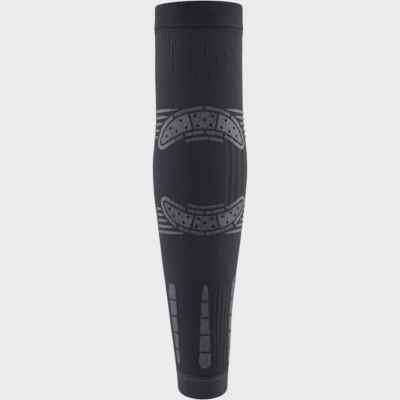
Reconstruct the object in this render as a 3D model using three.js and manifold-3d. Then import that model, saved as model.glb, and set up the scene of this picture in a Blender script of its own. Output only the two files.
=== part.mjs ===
// Arm compression sleeve in its worn form: a tapered knitted tube, a doubled hem at each end, and raised
// silicone panels above and below the elbow and down the forearm.
// Millimetres. +Z runs up the arm, -Y is the printed front, and the origin is the middle of the elbow.

import * as THREE from "three";
import { mergeVertices } from "three/addons/utils/BufferGeometryUtils.js";
import Module from "manifold-3d";

// Sleeve
const upperLength = 167.4; // elbow to the upper rim
const foreLength = 229.6; // elbow to the lower rim, at the sides
const upperArmGirth = 279.9; // round the outside of the knit
const elbowGirth = 307.4;
const wristGirth = 173.8; // at the lower hem
const knitWall = 1.4;
const upperLean = -1.3; // sideways shift of the upper arm's middle
const wristLean = 2.8; // sideways shift of the wrist's middle
const rimDrop = 4.3; // how much lower the wrist's rim is in front than at the sides

// Knitted ribs on the right flank, from the front round towards the back
const ribStart = 18; // degrees from the front to the first crest
const ribPitch = 10.5; // degrees
const ribCount = 8;
const ribDepth = 0.5;

// Hems: a doubled band whose lip laps over the end of the tube
const upperCuffHeight = 26.5;
const lowerCuffHeight = 24.6;
const cuffLap = 3; // length of the lip over the tube
const lipWall = 0.9;
const tuck = 0.45; // how far the tube draws in under the lip
const foldRound = 0.9; // rounding of the folded rim
const clearance = 0.3; // between pieces

// Crescent panels
const printThickness = 0.6;
const padReach = 45.5; // from the crescent's middle to its tip, round the arm
const upperPadTip = 28.5; // height of the tips from the elbow
const upperPadTop = 60; // height of the pads' outer edge from the elbow, at the middle
const upperPadWidth = 16.6;
const lowerPadTip = 30.5;
const lowerPadTop = 56.8;
const lowerPadWidth = 13.9;
const padGap = 2; // between neighbouring pads
const holeDiameter = 2.9;
const ringGap = 1.9; // between the pads and the outline round them
const ringWidth = 3.3; // of the outline, at the middle
const ringTipWidth = 3.8; // of the outline, at the tips
const ringBreak = 2; // gaps that cut the outline into lengths
const upperArcGap = 2.7; // between the outline and the arc inside it
const lowerArcGap = 2.3;
const upperArcWidth = 3.3;
const lowerArcWidth = 2.6;
const stripeTail = 14.4; // from the outline's tip to the stripes' outer ends, round the arm
const stripeWidth = 2.7;
const stripePoint = 1.1; // width of a stripe at its inner end
const stripeGap = 1.6; // between a stripe's inner end and the outline

// Forearm strips
const stripHemGap = 8.6; // from the last segments to the lower hem
const segmentGap = 1.6;
const centreStripTopWidth = 5.2;
const centreStripFootWidth = 12.6;
const sideStripTopWidth = 12.8;
const sideStripFootWidth = 5.4;
const leftStripTopAngle = 58; // degrees from the front
const leftStripFootAngle = 64;
const rightStripAngle = 64.5;
const rightStripExtra = 5; // how much further up the right strip starts

const degree = Math.PI / 180;
const fullTurn = 2 * Math.PI;
const upperRadius = upperArmGirth / fullTurn;
const elbowRadius = elbowGirth / fullTurn;
const wristRadius = wristGirth / fullTurn;
const upperHem = upperLength - upperCuffHeight;
const lowerHem = -(foreLength - lowerCuffHeight);

// The sleeve's sections from the upper rim down to the lower rim.
// at: share of the upper length (+) or of the forearm's length (-). taper: 0 is the elbow's radius and 1 the
// upper arm's or the wrist's. depth: front to back as a share of the width. lean, rib, tilt: shares of their sizes.
const sections = [
  { at: 1.0, taper: 1.0, depth: 1.0, lean: 1.0, rib: 0, tilt: 0 },
  { at: 0.84, taper: 1.0, depth: 1.0, lean: 1.0, rib: 0, tilt: 0 },
  { at: 0.7, taper: 1.04, depth: 1.0, lean: 0.95, rib: 0, tilt: 0 },
  { at: 0.55, taper: 0.99, depth: 1.0, lean: 1.0, rib: 0, tilt: 0 },
  { at: 0.4, taper: 0.99, depth: 0.99, lean: 0.55, rib: 0, tilt: 0 },
  { at: 0.32, taper: 0.94, depth: 0.985, lean: 0.3, rib: 0.2, tilt: 0 },
  { at: 0.25, taper: 0.73, depth: 0.98, lean: -0.1, rib: 0.7, tilt: 0 },
  { at: 0.18, taper: 0.42, depth: 0.97, lean: -0.2, rib: 1, tilt: 0 },
  { at: 0.11, taper: 0.13, depth: 0.96, lean: -0.1, rib: 1, tilt: 0 },
  { at: 0.035, taper: 0.0, depth: 0.955, lean: 0, rib: 1, tilt: 0 },
  { at: -0.035, taper: 0.018, depth: 0.955, lean: 0, rib: 1, tilt: 0 },
  { at: -0.1, taper: 0.068, depth: 0.96, lean: 0, rib: 1, tilt: 0 },
  { at: -0.16, taper: 0.139, depth: 0.965, lean: 0, rib: 1, tilt: 0 },
  { at: -0.22, taper: 0.217, depth: 0.97, lean: 0, rib: 0.6, tilt: 0 },
  { at: -0.3, taper: 0.305, depth: 0.975, lean: 0, rib: 0.3, tilt: 0 },
  { at: -0.38, taper: 0.403, depth: 0.98, lean: 0, rib: 0.3, tilt: 0 },
  { at: -0.46, taper: 0.513, depth: 0.985, lean: 0, rib: 0.5, tilt: 0 },
  { at: -0.54, taper: 0.627, depth: 0.99, lean: 0.02, rib: 0.9, tilt: 0 },
  { at: -0.62, taper: 0.728, depth: 0.995, lean: 0.08, rib: 1, tilt: 0 },
  { at: -0.7, taper: 0.813, depth: 1.0, lean: 0.3, rib: 1, tilt: 0.15 },
  { at: -0.78, taper: 0.887, depth: 1.0, lean: 0.65, rib: 1, tilt: 0.5 },
  { at: -0.85, taper: 0.955, depth: 1.0, lean: 0.82, rib: 1, tilt: 0.85 },
  { at: -0.9, taper: 1.0, depth: 1.0, lean: 0.88, rib: 0.4, tilt: 1 },
  { at: -1.0, taper: 1.062, depth: 1.0, lean: 1.0, rib: 0, tilt: 1 },
].map((row) => {
  const above = row.at > 0;
  const width = elbowRadius + row.taper * ((above ? upperRadius : wristRadius) - elbowRadius);
  return {
    height: row.at * (above ? upperLength : foreLength),
    width,
    depth: width * row.depth,
    lean: row.lean * (above ? upperLean : wristLean),
    rib: row.rib * ribDepth,
    tilt: row.tilt * rimDrop,
  };
});

function sectionAt(height) {
  const last = sections.length - 1;
  let lower = sections.findIndex((row) => row.height <= height);
  if (lower === -1) lower = last;
  const below = sections[Math.max(lower, 1)];
  const above = sections[Math.max(lower, 1) - 1];
  const share = (height - below.height) / (above.height - below.height);
  const mix = (key) => below[key] + share * (above[key] - below[key]);
  return { width: mix("width"), depth: mix("depth"), lean: mix("lean"), rib: mix("rib"), tilt: mix("tilt") };
}

// A point of the worn sleeve: angle from the front in radians, height along the arm, distance out of the surface.
function place(angle, height, out) {
  const section = sectionAt(height);
  return new THREE.Vector3(
    section.lean + (section.width + out) * Math.sin(angle),
    -(section.depth + out) * Math.cos(angle),
    height - section.tilt * Math.cos(angle),
  );
}

function fabric(color, roughness) {
  return new THREE.MeshStandardMaterial({ color, roughness, metalness: 0 });
}

const sleeve = new THREE.Group();

function addPiece(name, geometry, material) {
  const mesh = new THREE.Mesh(geometry, material);
  mesh.name = name;
  sleeve.add(mesh);
}

// Joins the shared corners of a closed surface and turns its faces outwards.
function closeSurface(geometry) {
  geometry.deleteAttribute("normal");
  geometry.deleteAttribute("uv");
  const joined = mergeVertices(geometry, 1e-4);
  const position = joined.getAttribute("position");
  const index = joined.index.array;
  const corner = [new THREE.Vector3(), new THREE.Vector3(), new THREE.Vector3()];
  let volume = 0;
  for (let i = 0; i < index.length; i += 3) {
    corner.forEach((point, k) => point.fromBufferAttribute(position, index[i + k]));
    volume += corner[0].dot(corner[1].cross(corner[2]));
  }
  if (volume < 0) {
    for (let i = 0; i < index.length; i += 3) {
      [index[i], index[i + 1]] = [index[i + 1], index[i]];
    }
  }
  return joined;
}

// Knitted tube and hems: a closed wall profile turned round the arm, with closer columns where the ribs are.
const ribColumns = 2 * ribCount;
const plainColumns = 26;
const columns = ribColumns + plainColumns;
const ribZone = ribCount * ribPitch * degree;

function columnAngle(turn) {
  const column = (turn / fullTurn) * columns;
  if (column <= ribColumns) return ribStart * degree + (column / ribColumns) * ribZone;
  return ribStart * degree + ribZone + ((column - ribColumns) / plainColumns) * (fullTurn - ribZone);
}

function grooveAt(angle, height) {
  const along = angle - ribStart * degree;
  if (along > ribZone) return 0;
  return (sectionAt(height).rib * (1 - Math.cos((fullTurn * along) / (ribPitch * degree)))) / 2;
}

// profile: [out, height] corners of the wall, closed; the outer side is grooved where ribbed is set
function wall(profile, ribbed) {
  const outline = [...profile, profile[0]].map(
    ([out, height]) => new THREE.Vector2(sectionAt(height).width + out, height),
  );
  const geometry = new THREE.LatheGeometry(outline, columns);
  const position = geometry.getAttribute("position");
  for (let i = 0; i < position.count; i += 1) {
    const column = Math.floor(i / outline.length);
    const angle = columnAngle((column / columns) * fullTurn);
    const [out, height] = profile[(i % outline.length) % profile.length];
    const groove = ribbed && out > -knitWall / 2 ? grooveAt(angle, height) : 0;
    const point = place(angle, height, out - groove);
    position.setXYZ(i, point.x, point.y, point.z);
  }
  return closeSurface(geometry);
}

const tubeTop = upperHem + cuffLap;
const tubeFoot = lowerHem - cuffLap;
const tuckRun = 2; // length over which the tube draws in beside each hem
const openHeights = sections
  .map((row) => row.height)
  .filter((height) => height < upperHem - 2 * tuckRun && height > lowerHem + 2 * tuckRun);
const tubeRows = [
  { height: tubeTop, out: -tuck },
  { height: upperHem, out: -tuck },
  { height: upperHem - tuckRun, out: 0 },
  ...openHeights.map((height) => ({ height, out: 0 })),
  { height: lowerHem + tuckRun, out: 0 },
  { height: lowerHem, out: -tuck },
  { height: tubeFoot, out: -tuck },
];
const tubeProfile = [
  ...tubeRows.map((row) => [row.out, row.height]),
  ...tubeRows.toReversed().map((row) => [row.out - knitWall, row.height]),
];
addPiece("knit_tube", wall(tubeProfile, true), fabric(0x2b2c2f, 0.9));

// A hem between its hem line and its rim; way is +1 above the elbow and -1 below it
function cuffProfile(hem, height, way) {
  const at = (distance) => hem + way * distance;
  const lipInside = clearance - tuck;
  const lipOutside = lipInside + lipWall;
  const inside = -tuck - knitWall;
  return [
    [lipInside, at(0)],
    [lipOutside, at(0)],
    [lipOutside, at(cuffLap)],
    [lipOutside - tuck, at(height - foldRound)],
    [lipOutside - tuck - foldRound / 2, at(height)],
    [inside + foldRound / 2, at(height)],
    [inside, at(height - foldRound)],
    [inside, at(cuffLap + clearance)],
    [lipInside, at(cuffLap + clearance)],
  ];
}
const cuffMaterial = fabric(0x28262a, 0.85);
addPiece("upper_cuff", wall(cuffProfile(upperHem, upperCuffHeight, 1), false), cuffMaterial);
addPiece("lower_cuff", wall(cuffProfile(lowerHem, lowerCuffHeight, -1), false), cuffMaterial);

// Panels: flat shapes drawn in millimetres on the unrolled arm and laid on the knit.
const print = fabric(0x6f7175, 0.6);

// edgeIn and edgeOut give the two long sides of a panel for a share of its length; onArm lays a flat point
function ribbon(edgeIn, edgeOut, steps, rows, onArm) {
  const geometry = new THREE.BoxGeometry(1, 1, 1, steps, rows, 1);
  const position = geometry.getAttribute("position");
  for (let i = 0; i < position.count; i += 1) {
    const along = position.getX(i) + 0.5;
    const across = position.getY(i) + 0.5;
    const lift = position.getZ(i) + 0.5;
    const flat = edgeIn(along).lerp(edgeOut(along), across);
    const point = onArm(flat, clearance + lift * printThickness);
    position.setXYZ(i, point.x, point.y, point.z);
  }
  return closeSurface(geometry);
}

// Half of the pads' outline. along: share of the reach. rise: 0 is the tips' height and 1 the height of that
// edge at the middle.
const padOuterEdge = [
  { along: 0, rise: 1 },
  { along: 0.32, rise: 0.93 },
  { along: 0.52, rise: 0.83 },
  { along: 0.68, rise: 0.7 },
  { along: 0.82, rise: 0.53 },
  { along: 0.93, rise: 0.33 },
  { along: 0.99, rise: 0.12 },
];
const padInnerEdge = [
  { along: 0, rise: 1 },
  { along: 0.26, rise: 0.92 },
  { along: 0.43, rise: 0.78 },
  { along: 0.62, rise: 0.5 },
  { along: 0.78, rise: 0.22 },
  { along: 0.89, rise: 0.04 },
  { along: 0.955, rise: -0.04 },
];
const innerBreakRow = 2.1; // where the outline's inner side is cut, counted in rows from the middle
const padGapRow = 1; // where the gap between two pads meets their outer edge
const padGapFootRow = 0.9; // and their inner edge
const tipRow = padOuterEdge.length;
const middleRow = tipRow + padInnerEdge.length;

// Holes in the middle pad and in the side pads: along as above, rise from the tips' height to the outer edge's
const middleHoles = [
  { along: -0.19, rise: 0.87 },
  { along: 0.19, rise: 0.87 },
  { along: 0, rise: 0.74 },
  { along: -0.14, rise: 0.57 },
  { along: 0.14, rise: 0.57 },
];
const leftHoles = [
  { along: -0.49, rise: 0.73 },
  { along: -0.38, rise: 0.5 },
  { along: -0.74, rise: 0.49 },
  { along: -0.59, rise: 0.38 },
  { along: -0.84, rise: 0.23 },
];
const rightHoles = [
  { along: 0.51, rise: 0.73 },
  { along: 0.38, rise: 0.5 },
  { along: 0.73, rise: 0.49 },
  { along: 0.585, rise: 0.38 },
  { along: 0.8, rise: 0.24 },
];

const wasm = await Module();
wasm.setup();

function toSolid(geometry) {
  return new wasm.Manifold(new wasm.Mesh({
    numProp: 3,
    vertProperties: new Float32Array(geometry.getAttribute("position").array),
    triVerts: new Uint32Array(geometry.index.array),
  }));
}

function fromSolid(solid) {
  const mesh = solid.getMesh();
  const geometry = new THREE.BufferGeometry();
  geometry.setAttribute("position", new THREE.BufferAttribute(mesh.vertProperties, 3));
  geometry.setIndex(new THREE.BufferAttribute(mesh.triVerts, 1));
  return geometry;
}

// way: +1 above the elbow and -1 below. turn: degrees of the middle from the front. left, right: how far that
// half spreads round the arm, the row where its outline is cut, the rise of its outermost stripe, the stripes'
// pitch as a share of the pads' rise, how the stripes climb inwards, and the share of the tail that they have.
// arcOverrun: how far the arc's ends pass the outline's inner breaks.
const crescents = [
  {
    name: "upper", way: 1, turn: -1,
    padTip: upperPadTip, padTop: upperPadTop, padWidth: upperPadWidth,
    arcGap: upperArcGap, arcWidth: upperArcWidth, arcOverrun: 0.9,
    left: {
      stretch: 1.068, outerBreakRow: 2.58, firstStripe: 0.995, stripePitch: 0.205, slope: 0.055, tailShare: 1,
    },
    right: {
      stretch: 0.985, outerBreakRow: 2.58, firstStripe: 0.955, stripePitch: 0.185, slope: 0.09, tailShare: 1,
    },
  },
  {
    name: "lower", way: -1, turn: -0.7,
    padTip: lowerPadTip, padTop: lowerPadTop, padWidth: lowerPadWidth,
    arcGap: lowerArcGap, arcWidth: lowerArcWidth, arcOverrun: -0.4,
    left: {
      stretch: 0.962, outerBreakRow: 2.58, firstStripe: 1.172, stripePitch: 0.223, slope: -0.02, tailShare: 0.93,
    },
    right: {
      stretch: 1.06, outerBreakRow: 2.85, firstStripe: 1.085, stripePitch: 0.21, slope: 0.04, tailShare: 1,
    },
  },
];
const stripeCount = 5;
const ringSampleCount = 60; // points of the outline that a stripe keeps clear of

for (const crescent of crescents) {
  const { name, way, turn, padTip, padTop, padWidth, arcGap, arcWidth, arcOverrun } = crescent;
  const rollRadius = sectionAt(way * (padTop + padTip) / 2).width;
  const outerRise = padTop - padTip;
  const innerRise = padTop - padWidth - padTip;

  const onArm = (flat, out) => {
    const { stretch } = flat.x < 0 ? crescent.left : crescent.right;
    return place(turn * degree + (stretch * flat.x) / rollRadius, way * flat.y, out);
  };

  // The pads' outline, once round, from the middle of the outer edge by way of the right tip
  const half = [
    ...padOuterEdge.map((row) => [row.along * padReach, padTip + row.rise * outerRise]),
    [padReach, padTip + 0.02 * outerRise],
    ...padInnerEdge.toReversed().map((row) => [row.along * padReach, padTip + row.rise * innerRise]),
  ];
  const otherHalf = half.slice(1, -1).toReversed().map(([x, y]) => [-x, y]);
  const outline = new THREE.CatmullRomCurve3(
    [...half, ...otherHalf].map(([x, y]) => new THREE.Vector3(x, y, 0)),
    true,
    "centripetal",
  );
  const rowCount = half.length + otherHalf.length;

  // A point beside the outline: row counts the outline's rows, aside is the distance out of the pads
  const wrapRow = (row) => (((row % rowCount) + rowCount) % rowCount) / rowCount;
  const beside = (row, aside) => {
    const point = outline.getPoint(wrapRow(row));
    const tangent = outline.getTangent(wrapRow(row));
    return new THREE.Vector2(point.x - tangent.y * aside, point.y + tangent.x * aside);
  };
  // The row that lies a distance further along the outline
  const further = (row, distance) => {
    const probe = 0.05;
    const speed = beside(row + probe, 0).distanceTo(beside(row - probe, 0)) / (2 * probe);
    return row + distance / speed;
  };
  const outerSide = (row) => {
    const share = Math.min(1, Math.abs(beside(row, 0).x) / padReach);
    return ringGap + ringWidth + (ringTipWidth - ringWidth) * share * share;
  };

  // Pads: the middle one, and one on each side out to the tip
  const drill = (geometry, holes) => {
    let solid = toSolid(geometry);
    for (const hole of holes) {
      const flat = new THREE.Vector2(hole.along * padReach, padTip + hole.rise * outerRise);
      const inner = onArm(flat, 0);
      const outer = onArm(flat, 2 * clearance + printThickness);
      const drillBit = new THREE.CylinderGeometry(
        holeDiameter / 2, holeDiameter / 2, inner.distanceTo(outer), 8,
      );
      const upright = new THREE.Vector3(0, 1, 0);
      const outwards = outer.clone().sub(inner).normalize();
      drillBit.applyQuaternion(new THREE.Quaternion().setFromUnitVectors(upright, outwards));
      const middle = inner.clone().add(outer).multiplyScalar(0.5);
      drillBit.translate(middle.x, middle.y, middle.z);
      solid = solid.subtract(toSolid(closeSurface(drillBit)));
    }
    return fromSolid(solid);
  };

  const shifted = (point, shift) => new THREE.Vector2(point.x + shift, point.y);
  const middlePad = (edgeRow) => (share) => {
    const row = edgeRow(2 * share - 1);
    return shifted(beside(row, 0), -Math.sign(2 * share - 1) * (padGap / 2) * Math.abs(2 * share - 1));
  };
  const middleGeometry = ribbon(
    middlePad((side) => middleRow - side * padGapFootRow),
    middlePad((side) => side * padGapRow),
    6, 3, onArm,
  );
  addPiece(`${name}_pad_middle`, drill(middleGeometry, middleHoles), print);

  for (const [side, sideName] of [[1, "right"], [-1, "left"]]) {
    const { outerBreakRow, firstStripe, stripePitch, slope, tailShare } = crescent[sideName];
    const sideRow = (row) => side * row;
    const tipShare = 0.96;
    const padEdge = (startRow) => (share) => {
      const row = startRow + (tipRow - startRow) * tipShare * share;
      return shifted(beside(sideRow(row), 0), side * (padGap / 2) * (1 - share) ** 2);
    };
    const padGeometry = ribbon(padEdge(middleRow - padGapFootRow), padEdge(padGapRow), 10, 3, onArm);
    addPiece(`${name}_pad_${sideName}`, drill(padGeometry, side > 0 ? rightHoles : leftHoles), print);

    // The outline's lengths on this side: over the pads, round the tip, and along the pads' inner edge
    const lengths = [
      { part: "ring", from: 0, to: outerBreakRow, steps: 5 },
      { part: "hook", from: outerBreakRow, to: middleRow - innerBreakRow, steps: 18 },
      { part: "bridge", from: middleRow - innerBreakRow, to: middleRow, steps: 4 },
    ];
    for (const { part, from, to, steps } of lengths) {
      const start = further(from, ringBreak / 2);
      const end = further(to, -ringBreak / 2);
      const row = (share) => sideRow(start + (end - start) * share);
      const geometry = ribbon(
        (share) => beside(row(share), ringGap),
        (share) => beside(row(share), outerSide(row(share))),
        steps, 1, onArm,
      );
      addPiece(`${name}_${part}_${sideName}`, geometry, print);
    }

    // Side stripes from the back edge of the print in towards the outline, tapered at their inner ends
    const ringSamples = Array.from({ length: ringSampleCount }, (_, i) => {
      const row = sideRow((i / ringSampleCount) * middleRow);
      return beside(row, outerSide(row));
    });
    const stripeReach = padReach + ringGap + ringTipWidth + stripeTail * tailShare;
    for (let stripe = 0; stripe < stripeCount; stripe += 1) {
      const outerEnd = padTip + (firstStripe - stripePitch * stripe) * outerRise;
      const line = (x) => new THREE.Vector2(side * x, outerEnd + slope * (stripeReach - x));
      const reachIn = stripeGap + stripePoint / 2;
      let innerEnd = stripeReach;
      const stride = 0.2;
      while (innerEnd > 0 && ringSamples.every((sample) => sample.distanceTo(line(innerEnd)) > reachIn)) {
        innerEnd -= stride;
      }
      const length = stripeReach - innerEnd;
      const halfWidth = (share) => {
        const fromPoint = Math.min(1, share / 0.4);
        return (stripePoint + (stripeWidth - stripePoint) * Math.sin((fromPoint * Math.PI) / 2)) / 2;
      };
      const edge = (way2) => (share) => {
        const point = line(innerEnd + share * length);
        return new THREE.Vector2(point.x, point.y + way2 * halfWidth(share));
      };
      const geometry = ribbon(edge(-1), edge(1), Math.max(2, Math.ceil(length / 6.5)), 1, onArm);
      addPiece(`${name}_stripe_${sideName}_${stripe + 1}`, geometry, print);
    }
  }

  // The thin arc inside the bridges
  const arcStart = further(middleRow - innerBreakRow, -arcOverrun);
  const arcRow = (share) => arcStart + 2 * (middleRow - arcStart) * share;
  const arcInside = ringGap + ringWidth + arcGap;
  const arcGeometry = ribbon(
    (share) => beside(arcRow(share), arcInside),
    (share) => beside(arcRow(share), arcInside + arcWidth),
    8, 1, onArm,
  );
  addPiece(`${name}_arc`, arcGeometry, print);
}

// Forearm strips: three rows of segments between the lower crescent and the hem
const stripShare = 0.58; // of the free length
const segmentCount = 5;
const lowerRing = -(lowerPadTop + ringGap + ringWidth);
const stripFoot = lowerHem + stripHemGap;
const stripLength = stripShare * (lowerRing - lowerHem);
const stripTop = stripFoot + stripLength;
const lastSegmentShare = 0.9; // length of the last segment as a share of the others'
const roundedShare = 0.42; // share of a segment's length that the rounding of an end takes
const sideStripDrop = 0.8; // how much lower the side strips lie

// topAngle, footAngle: degrees from the front. topWidth, footWidth: widths at the strip's ends. drop: how much
// lower the strip lies than the centre strip. extra: how much further up its first segment starts.
const strips = [
  {
    name: "left", topAngle: -leftStripTopAngle, footAngle: -leftStripFootAngle,
    topWidth: sideStripTopWidth, footWidth: sideStripFootWidth, drop: sideStripDrop, extra: 0,
  },
  {
    name: "centre", topAngle: 1.8, footAngle: -1.4,
    topWidth: centreStripTopWidth, footWidth: centreStripFootWidth, drop: 0, extra: 0,
  },
  {
    name: "right", topAngle: rightStripAngle, footAngle: rightStripAngle,
    topWidth: sideStripTopWidth, footWidth: sideStripFootWidth, drop: sideStripDrop, extra: rightStripExtra,
  },
];

for (const { name, topAngle, footAngle, topWidth, footWidth, drop, extra } of strips) {
  for (let segment = 0; segment < segmentCount; segment += 1) {
    const pitch = stripLength / (segmentCount - 1 + lastSegmentShare);
    const top = stripTop - segment * pitch + (segment > 0 ? -segmentGap / 2 : extra);
    const foot = segment < segmentCount - 1 ? stripTop - (segment + 1) * pitch + segmentGap / 2 : stripFoot;
    const onArm = (flat, out) => {
      const share = (stripTop - flat.y) / stripLength;
      const angle = (topAngle + (footAngle - topAngle) * share) * degree;
      return place(angle + flat.x / sectionAt(flat.y).width, flat.y - drop, out);
    };
    const halfWidth = (height) => {
      const share = (stripTop - height) / stripLength;
      const full = (topWidth + (footWidth - topWidth) * share) / 2;
      const fromEnd = Math.min(
        segment === 0 ? (stripTop + extra - height) / (roundedShare * pitch) : 1,
        segment === segmentCount - 1 ? (height - stripFoot) / (roundedShare * pitch) : 1,
        1,
      );
      return full * (0.45 + 0.55 * Math.sqrt(1 - (1 - fromEnd) ** 2));
    };
    // The share of the height bends so that the rounded ends get closer rows
    const heightAt = (share) => {
      const bent = segment === 0 ? share ** 1.6 : segment === segmentCount - 1 ? 1 - (1 - share) ** 1.6 : share;
      return top + (foot - top) * bent;
    };
    const edge = (way) => (share) => new THREE.Vector2(way * halfWidth(heightAt(share)), heightAt(share));
    const geometry = ribbon(edge(-1), edge(1), 4, 3, onArm);
    addPiece(`strip_${name}_${segment + 1}`, geometry, print);
  }
}

export default sleeve;
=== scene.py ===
# Arm compression sleeve, worn: a knitted tube with a doubled hem at each end and raised silicone panels.
# Metres in Blender; sizes below are in millimetres and degrees. +Z is up the arm and -Y is the printed front.

import math

import bmesh
import bpy
import numpy as np
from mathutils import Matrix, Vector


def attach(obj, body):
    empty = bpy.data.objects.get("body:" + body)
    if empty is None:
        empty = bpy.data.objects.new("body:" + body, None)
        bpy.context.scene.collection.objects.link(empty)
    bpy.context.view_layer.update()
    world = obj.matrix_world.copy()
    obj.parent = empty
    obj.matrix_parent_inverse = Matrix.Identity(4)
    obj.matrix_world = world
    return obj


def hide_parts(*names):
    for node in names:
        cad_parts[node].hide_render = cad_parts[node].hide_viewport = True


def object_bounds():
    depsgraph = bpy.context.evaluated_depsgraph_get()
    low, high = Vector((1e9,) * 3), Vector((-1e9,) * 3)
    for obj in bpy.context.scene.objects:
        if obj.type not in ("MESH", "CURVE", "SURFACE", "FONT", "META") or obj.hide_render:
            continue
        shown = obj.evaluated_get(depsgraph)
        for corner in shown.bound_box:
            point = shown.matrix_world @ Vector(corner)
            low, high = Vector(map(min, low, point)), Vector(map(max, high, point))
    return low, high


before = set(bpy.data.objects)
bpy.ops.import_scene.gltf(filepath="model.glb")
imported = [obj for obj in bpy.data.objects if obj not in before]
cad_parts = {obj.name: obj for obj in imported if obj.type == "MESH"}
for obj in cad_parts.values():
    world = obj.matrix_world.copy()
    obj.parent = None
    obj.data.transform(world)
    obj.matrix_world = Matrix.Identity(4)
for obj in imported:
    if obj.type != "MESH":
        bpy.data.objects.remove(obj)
cad_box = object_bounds()

# Camera
# A long lens a little above the elbow, tilted down and standing to the left of the printed front.
MM = 0.001
STUDIO_TURN = math.radians(-7)  # the camera and the lights turn together round the arm
CAMERA_DISTANCE = 0.950
CAMERA_HEIGHT = 0.0475
CAMERA_TILT = math.radians(4.69)
LENS = 82.9  # millimetres, on a 36 mm sensor


def studio_point(right, towards, up):
    """A point in metres from the camera's side: right of the arm, towards the camera, and up."""
    across = right * math.cos(STUDIO_TURN) + towards * math.sin(STUDIO_TURN)
    along = right * math.sin(STUDIO_TURN) - towards * math.cos(STUDIO_TURN)
    return (across, along, up)


bpy.ops.object.camera_add(
    location=studio_point(0, CAMERA_DISTANCE, CAMERA_HEIGHT),
    rotation=(math.pi / 2 - CAMERA_TILT, 0, STUDIO_TURN),
)
camera = bpy.context.object
camera.name = "camera"
camera.data.lens = LENS
camera.data.sensor_width = 36
camera.data.dof.use_dof = False
bpy.context.scene.camera = camera
bpy.context.scene.view_settings.view_transform = "Standard"

# Studio
# A round seamless sheet, floor and wall in one, that glows pale grey, so the sleeve stands in even light
# on a plain floor. Two tall soft boxes light the flanks, and a weak one fills the front.
STAGE_RADIUS = 2.4
STAGE_HEIGHT = 3.0
STAGE_CORNER = 0.8
STAGE_GLOW = 0.987  # nearly all of its light, so no soft box makes a band on it
FLOOR_CLEARANCE = 0.0008  # under the wrist's rim


def linear(hex_code):
    """An sRGB hex colour as the linear colour that a shader socket takes."""
    shares = [int(hex_code[i:i + 2], 16) / 255 for i in (1, 3, 5)]
    return [s / 12.92 if s <= 0.04045 else ((s + 0.055) / 1.055) ** 2.4 for s in shares] + [1]


def add(tree, kind, inputs=(), **settings):
    """Adds a node with its settings. inputs gives each socket a value or another node's output."""
    node = tree.nodes.new(kind)
    for name, value in settings.items():
        setattr(node, name, value)
    for socket, value in dict(inputs).items():
        if isinstance(value, bpy.types.NodeSocket):
            tree.links.new(value, node.inputs[socket])
        else:
            node.inputs[socket].default_value = value
    return node


def new_material(name):
    """An empty node material and its output node."""
    material = bpy.data.materials.new(name)
    material.use_nodes = True
    material.node_tree.nodes.clear()
    return material, material.node_tree, add(material.node_tree, "ShaderNodeOutputMaterial")


def deselect_all():
    for other in bpy.context.selected_objects:
        other.select_set(False)


deselect_all()
floor_height = cad_box[0].z - FLOOR_CLEARANCE
bpy.ops.mesh.primitive_cylinder_add(
    vertices=96, radius=STAGE_RADIUS, depth=STAGE_HEIGHT, end_fill_type="NGON",
    location=(0, 0, floor_height + STAGE_HEIGHT / 2),
)
stage = bpy.context.object
stage.name = "studio_sheet"
stage_mesh = bmesh.new()
stage_mesh.from_mesh(stage.data)
top_face = max(stage_mesh.faces, key=lambda face: face.calc_center_median().z)
bmesh.ops.delete(stage_mesh, geom=[top_face], context="FACES_ONLY")
bottom_edges = [edge for edge in stage_mesh.edges if all(v.co.z < 0 for v in edge.verts)]
bmesh.ops.bevel(
    stage_mesh, geom=bottom_edges, offset=STAGE_CORNER, segments=16, profile=0.5, affect="EDGES",
)
bmesh.ops.reverse_faces(stage_mesh, faces=stage_mesh.faces)
stage_mesh.to_mesh(stage.data)
stage_mesh.free()
bpy.ops.object.shade_smooth()
stage_material, tree, output = new_material("matt_paper_sheet")
sheet_colour = linear("#ececec")
glow = add(tree, "ShaderNodeEmission", {"Color": sheet_colour, "Strength": STAGE_GLOW})
paper = add(tree, "ShaderNodeBsdfDiffuse", {"Color": linear("#101010")})
both = add(tree, "ShaderNodeAddShader", {0: glow.outputs[0], 1: paper.outputs[0]})
tree.links.new(both.outputs[0], output.inputs["Surface"])
stage.data.materials.append(stage_material)
stage.visible_diffuse = False
stage.visible_glossy = False

# The air's light comes from the sides and from behind the sleeve, and is dimmest on the printed front
AIR_FRONT = 0.5
AIR_BACK = 0.85
world = bpy.data.worlds.new("studio_air")
world.use_nodes = True
tree = world.node_tree
air = tree.nodes["Background"]
air.inputs["Color"].default_value = sheet_colour
direction = add(tree, "ShaderNodeTexCoord")
towards_back = add(
    tree, "ShaderNodeMapping", {0: direction.outputs["Generated"], "Rotation": (0, 0, -STUDIO_TURN)},
)
parts = add(tree, "ShaderNodeSeparateXYZ", {0: towards_back.outputs[0]})
strength = add(
    tree, "ShaderNodeMapRange",
    {"Value": parts.outputs[1], "From Min": -0.9, "From Max": 0.3, "To Min": AIR_FRONT, "To Max": AIR_BACK},
    interpolation_type="SMOOTHSTEP",
)
tree.links.new(strength.outputs[0], air.inputs["Strength"])
bpy.context.scene.world = world


def soft_box(name, right, towards, up, width, height, watts, colour):
    """An area light that faces the middle of the sleeve."""
    place = studio_point(right, towards, up)
    bpy.ops.object.light_add(type="AREA", location=place)
    light = bpy.context.object
    light.name = name
    light.data.shape = "RECTANGLE"
    light.data.size = width
    light.data.size_y = height
    light.data.energy = watts
    light.data.color = linear(colour)[:3]
    light.visible_camera = False
    facing = math.atan2(place[0], -place[1])
    drop = math.atan2(up, math.hypot(place[0], place[1]))
    light.rotation_euler = (math.pi / 2 - drop, 0, facing)


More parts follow.
